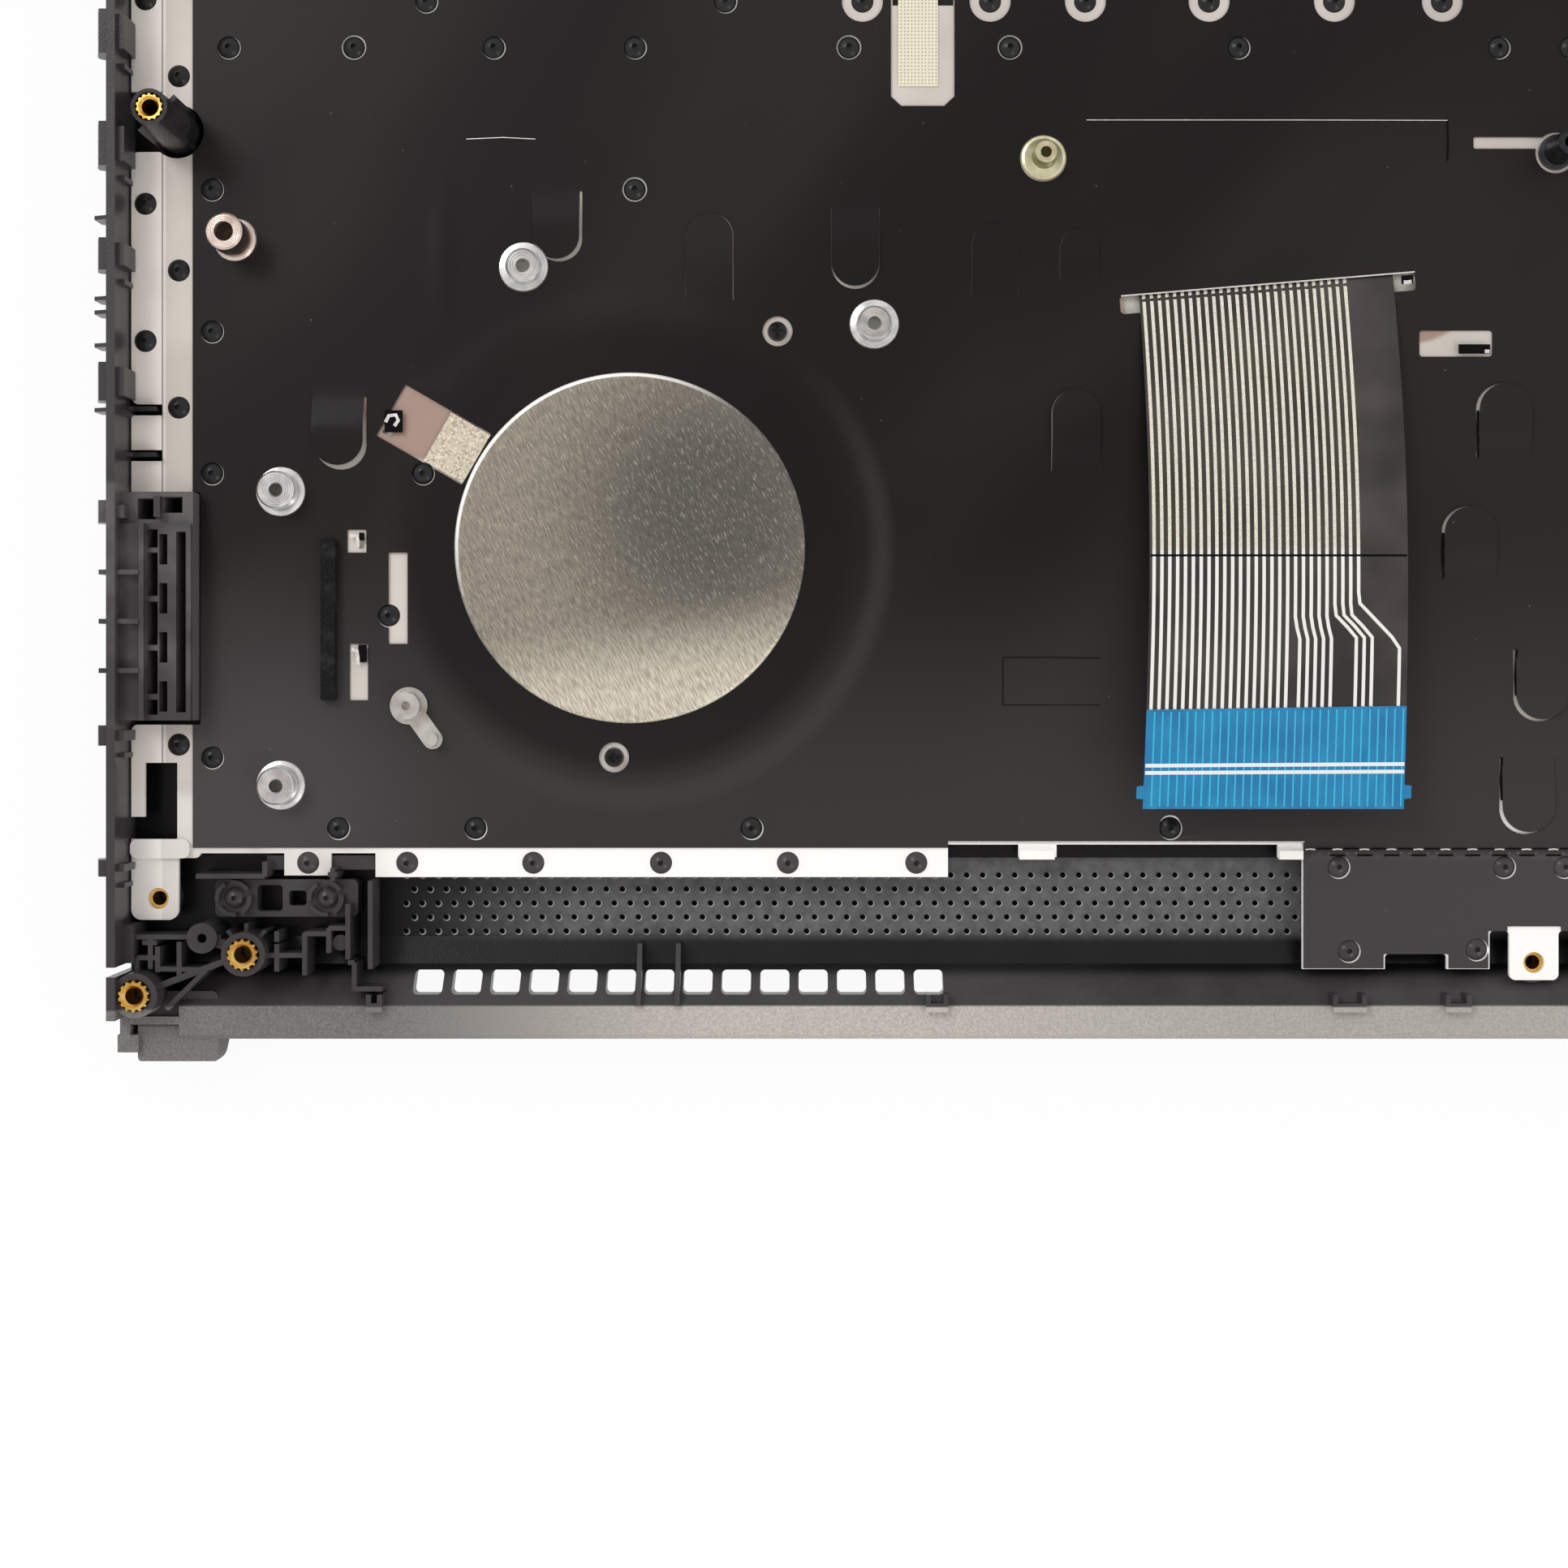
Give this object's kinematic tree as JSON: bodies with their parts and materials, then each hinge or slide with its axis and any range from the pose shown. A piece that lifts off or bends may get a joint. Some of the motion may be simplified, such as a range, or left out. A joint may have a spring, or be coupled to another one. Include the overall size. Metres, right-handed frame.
{
  "type": "laptop palmrest with keyboard",
  "caption": "Upper case of a laptop with its keyboard, seen from the inner side: plate, film, ribbon, bosses, hinge corners and vents.",
  "frame": {"origin": "under the middle of the whole part, on the face it lies on", "axes": "+X to the user's right, +Y from the hinges towards the palm edge, +Z out of the inner side"},
  "size_m": [0.36, 0.262, 0.0178],
  "materials": {
    "cover_plastic": "fine moulded texture, dark grey black",
    "plate_steel": "bright plated sheet steel, satin",
    "film_black": "smooth film with a soft gloss",
    "membrane_film": "translucent sheet",
    "dome_rubber": "soft silicone",
    "link_plastic": "natural plastic",
    "ribbon_film": "printed film",
    "stiffener_blue": "stiff blue film",
    "disc_steel": "brushed on the slant",
    "earth_cloth": "woven conductive cloth",
    "standoff_zinc": "clear plated, turned",
    "standoff_nickel": "nickel plated, turned",
    "standoff_brass": "pale yellow plated, turned",
    "post_black": "black, turned",
    "insert_brass": "knurled brass",
    "gasket_foam": "black foam",
    "screw_black": "black oxide",
    "key_plastic": "fine texture, bare of legends"
  },
  "bodies": {
    "case": {"palmrest_cover": "cover_plastic", "keyboard_plate": "plate_steel", "insulating_film": "film_black", "membrane_sheet": "membrane_film", "rubber_domes": "dome_rubber", "scissor_links": "link_plastic", "ribbon_cable": "ribbon_film", "ribbon_stiffener": "stiffener_blue", "shield_disc": "disc_steel", "disc_earth_tape": "earth_cloth", "earth_cloth_strip": "earth_cloth", "flange_standoffs": "standoff_zinc", "tall_standoff": "standoff_nickel", "brass_standoff": "standoff_brass", "black_post": "post_black", "locating_plate": "standoff_zinc", "boss_inserts": "insert_brass", "hinge_inserts": "insert_brass", "bracket_inserts": "insert_brass", "gasket_strip": "gasket_foam", "plate_screws": "screw_black", "fixed_keys": "key_plastic"},
    "cap_esc": {"key_esc": "key_plastic"},
    "cap_backspace": {"key_backspace": "key_plastic"},
    "cap_tab": {"key_tab": "key_plastic"},
    "cap_enter": {"key_enter": "key_plastic"},
    "cap_shift_left": {"key_shift_left": "key_plastic"},
    "cap_space": {"key_space": "key_plastic"},
    "cap_q": {"key_q": "key_plastic"},
    "cap_w": {"key_w": "key_plastic"},
    "cap_e": {"key_e": "key_plastic"},
    "cap_r": {"key_r": "key_plastic"},
    "cap_t": {"key_t": "key_plastic"},
    "cap_y": {"key_y": "key_plastic"},
    "cap_u": {"key_u": "key_plastic"},
    "cap_i": {"key_i": "key_plastic"},
    "cap_o": {"key_o": "key_plastic"},
    "cap_p": {"key_p": "key_plastic"},
    "cap_a": {"key_a": "key_plastic"},
    "cap_s": {"key_s": "key_plastic"},
    "cap_d": {"key_d": "key_plastic"},
    "cap_f": {"key_f": "key_plastic"},
    "cap_g": {"key_g": "key_plastic"},
    "cap_h": {"key_h": "key_plastic"},
    "cap_j": {"key_j": "key_plastic"},
    "cap_k": {"key_k": "key_plastic"},
    "cap_l": {"key_l": "key_plastic"},
    "cap_z": {"key_z": "key_plastic"},
    "cap_x": {"key_x": "key_plastic"},
    "cap_c": {"key_c": "key_plastic"},
    "cap_v": {"key_v": "key_plastic"},
    "cap_b": {"key_b": "key_plastic"},
    "cap_n": {"key_n": "key_plastic"},
    "cap_m": {"key_m": "key_plastic"},
    "cap_up": {"key_up": "key_plastic"},
    "cap_left": {"key_left": "key_plastic"},
    "cap_down": {"key_down": "key_plastic"},
    "cap_right": {"key_right": "key_plastic"}
  },
  "joints": [
    {"name": "press_esc", "type": "slide", "parent": "case", "child": "cap_esc", "axis": [0, 0, 1], "range_m": [0, 0.0015], "stiffness_N_per_m": 250, "springref_m": -0.0008, "deforming": ["rubber_domes", "scissor_links"]},
    {"name": "press_backspace", "type": "slide", "parent": "case", "child": "cap_backspace", "axis": [0, 0, 1], "range_m": [0, 0.0015], "stiffness_N_per_m": 250, "springref_m": -0.0008},
    {"name": "press_tab", "type": "slide", "parent": "case", "child": "cap_tab", "axis": [0, 0, 1], "range_m": [0, 0.0015], "stiffness_N_per_m": 250, "springref_m": -0.0008},
    {"name": "press_enter", "type": "slide", "parent": "case", "child": "cap_enter", "axis": [0, 0, 1], "range_m": [0, 0.0015], "stiffness_N_per_m": 250, "springref_m": -0.0008},
    {"name": "press_shift_left", "type": "slide", "parent": "case", "child": "cap_shift_left", "axis": [0, 0, 1], "range_m": [0, 0.0015], "stiffness_N_per_m": 250, "springref_m": -0.0008},
    {"name": "press_space", "type": "slide", "parent": "case", "child": "cap_space", "axis": [0, 0, 1], "range_m": [0, 0.0015], "stiffness_N_per_m": 250, "springref_m": -0.0008},
    {"name": "press_q", "type": "slide", "parent": "case", "child": "cap_q", "axis": [0, 0, 1], "range_m": [0, 0.0015], "stiffness_N_per_m": 250, "springref_m": -0.0008},
    {"name": "press_w", "type": "slide", "parent": "case", "child": "cap_w", "axis": [0, 0, 1], "range_m": [0, 0.0015], "stiffness_N_per_m": 250, "springref_m": -0.0008},
    {"name": "press_e", "type": "slide", "parent": "case", "child": "cap_e", "axis": [0, 0, 1], "range_m": [0, 0.0015], "stiffness_N_per_m": 250, "springref_m": -0.0008},
    {"name": "press_r", "type": "slide", "parent": "case", "child": "cap_r", "axis": [0, 0, 1], "range_m": [0, 0.0015], "stiffness_N_per_m": 250, "springref_m": -0.0008},
    {"name": "press_t", "type": "slide", "parent": "case", "child": "cap_t", "axis": [0, 0, 1], "range_m": [0, 0.0015], "stiffness_N_per_m": 250, "springref_m": -0.0008},
    {"name": "press_y", "type": "slide", "parent": "case", "child": "cap_y", "axis": [0, 0, 1], "range_m": [0, 0.0015], "stiffness_N_per_m": 250, "springref_m": -0.0008},
    {"name": "press_u", "type": "slide", "parent": "case", "child": "cap_u", "axis": [0, 0, 1], "range_m": [0, 0.0015], "stiffness_N_per_m": 250, "springref_m": -0.0008},
    {"name": "press_i", "type": "slide", "parent": "case", "child": "cap_i", "axis": [0, 0, 1], "range_m": [0, 0.0015], "stiffness_N_per_m": 250, "springref_m": -0.0008},
    {"name": "press_o", "type": "slide", "parent": "case", "child": "cap_o", "axis": [0, 0, 1], "range_m": [0, 0.0015], "stiffness_N_per_m": 250, "springref_m": -0.0008},
    {"name": "press_p", "type": "slide", "parent": "case", "child": "cap_p", "axis": [0, 0, 1], "range_m": [0, 0.0015], "stiffness_N_per_m": 250, "springref_m": -0.0008},
    {"name": "press_a", "type": "slide", "parent": "case", "child": "cap_a", "axis": [0, 0, 1], "range_m": [0, 0.0015], "stiffness_N_per_m": 250, "springref_m": -0.0008},
    {"name": "press_s", "type": "slide", "parent": "case", "child": "cap_s", "axis": [0, 0, 1], "range_m": [0, 0.0015], "stiffness_N_per_m": 250, "springref_m": -0.0008},
    {"name": "press_d", "type": "slide", "parent": "case", "child": "cap_d", "axis": [0, 0, 1], "range_m": [0, 0.0015], "stiffness_N_per_m": 250, "springref_m": -0.0008},
    {"name": "press_f", "type": "slide", "parent": "case", "child": "cap_f", "axis": [0, 0, 1], "range_m": [0, 0.0015], "stiffness_N_per_m": 250, "springref_m": -0.0008},
    {"name": "press_g", "type": "slide", "parent": "case", "child": "cap_g", "axis": [0, 0, 1], "range_m": [0, 0.0015], "stiffness_N_per_m": 250, "springref_m": -0.0008},
    {"name": "press_h", "type": "slide", "parent": "case", "child": "cap_h", "axis": [0, 0, 1], "range_m": [0, 0.0015], "stiffness_N_per_m": 250, "springref_m": -0.0008},
    {"name": "press_j", "type": "slide", "parent": "case", "child": "cap_j", "axis": [0, 0, 1], "range_m": [0, 0.0015], "stiffness_N_per_m": 250, "springref_m": -0.0008},
    {"name": "press_k", "type": "slide", "parent": "case", "child": "cap_k", "axis": [0, 0, 1], "range_m": [0, 0.0015], "stiffness_N_per_m": 250, "springref_m": -0.0008},
    {"name": "press_l", "type": "slide", "parent": "case", "child": "cap_l", "axis": [0, 0, 1], "range_m": [0, 0.0015], "stiffness_N_per_m": 250, "springref_m": -0.0008},
    {"name": "press_z", "type": "slide", "parent": "case", "child": "cap_z", "axis": [0, 0, 1], "range_m": [0, 0.0015], "stiffness_N_per_m": 250, "springref_m": -0.0008},
    {"name": "press_x", "type": "slide", "parent": "case", "child": "cap_x", "axis": [0, 0, 1], "range_m": [0, 0.0015], "stiffness_N_per_m": 250, "springref_m": -0.0008},
    {"name": "press_c", "type": "slide", "parent": "case", "child": "cap_c", "axis": [0, 0, 1], "range_m": [0, 0.0015], "stiffness_N_per_m": 250, "springref_m": -0.0008},
    {"name": "press_v", "type": "slide", "parent": "case", "child": "cap_v", "axis": [0, 0, 1], "range_m": [0, 0.0015], "stiffness_N_per_m": 250, "springref_m": -0.0008},
    {"name": "press_b", "type": "slide", "parent": "case", "child": "cap_b", "axis": [0, 0, 1], "range_m": [0, 0.0015], "stiffness_N_per_m": 250, "springref_m": -0.0008},
    {"name": "press_n", "type": "slide", "parent": "case", "child": "cap_n", "axis": [0, 0, 1], "range_m": [0, 0.0015], "stiffness_N_per_m": 250, "springref_m": -0.0008},
    {"name": "press_m", "type": "slide", "parent": "case", "child": "cap_m", "axis": [0, 0, 1], "range_m": [0, 0.0015], "stiffness_N_per_m": 250, "springref_m": -0.0008},
    {"name": "press_up", "type": "slide", "parent": "case", "child": "cap_up", "axis": [0, 0, 1], "range_m": [0, 0.0015], "stiffness_N_per_m": 250, "springref_m": -0.0008},
    {"name": "press_left", "type": "slide", "parent": "case", "child": "cap_left", "axis": [0, 0, 1], "range_m": [0, 0.0015], "stiffness_N_per_m": 250, "springref_m": -0.0008},
    {"name": "press_down", "type": "slide", "parent": "case", "child": "cap_down", "axis": [0, 0, 1], "range_m": [0, 0.0015], "stiffness_N_per_m": 250, "springref_m": -0.0008},
    {"name": "press_right", "type": "slide", "parent": "case", "child": "cap_right", "axis": [0, 0, 1], "range_m": [0, 0.0015], "stiffness_N_per_m": 250, "springref_m": -0.0008}
  ]
}
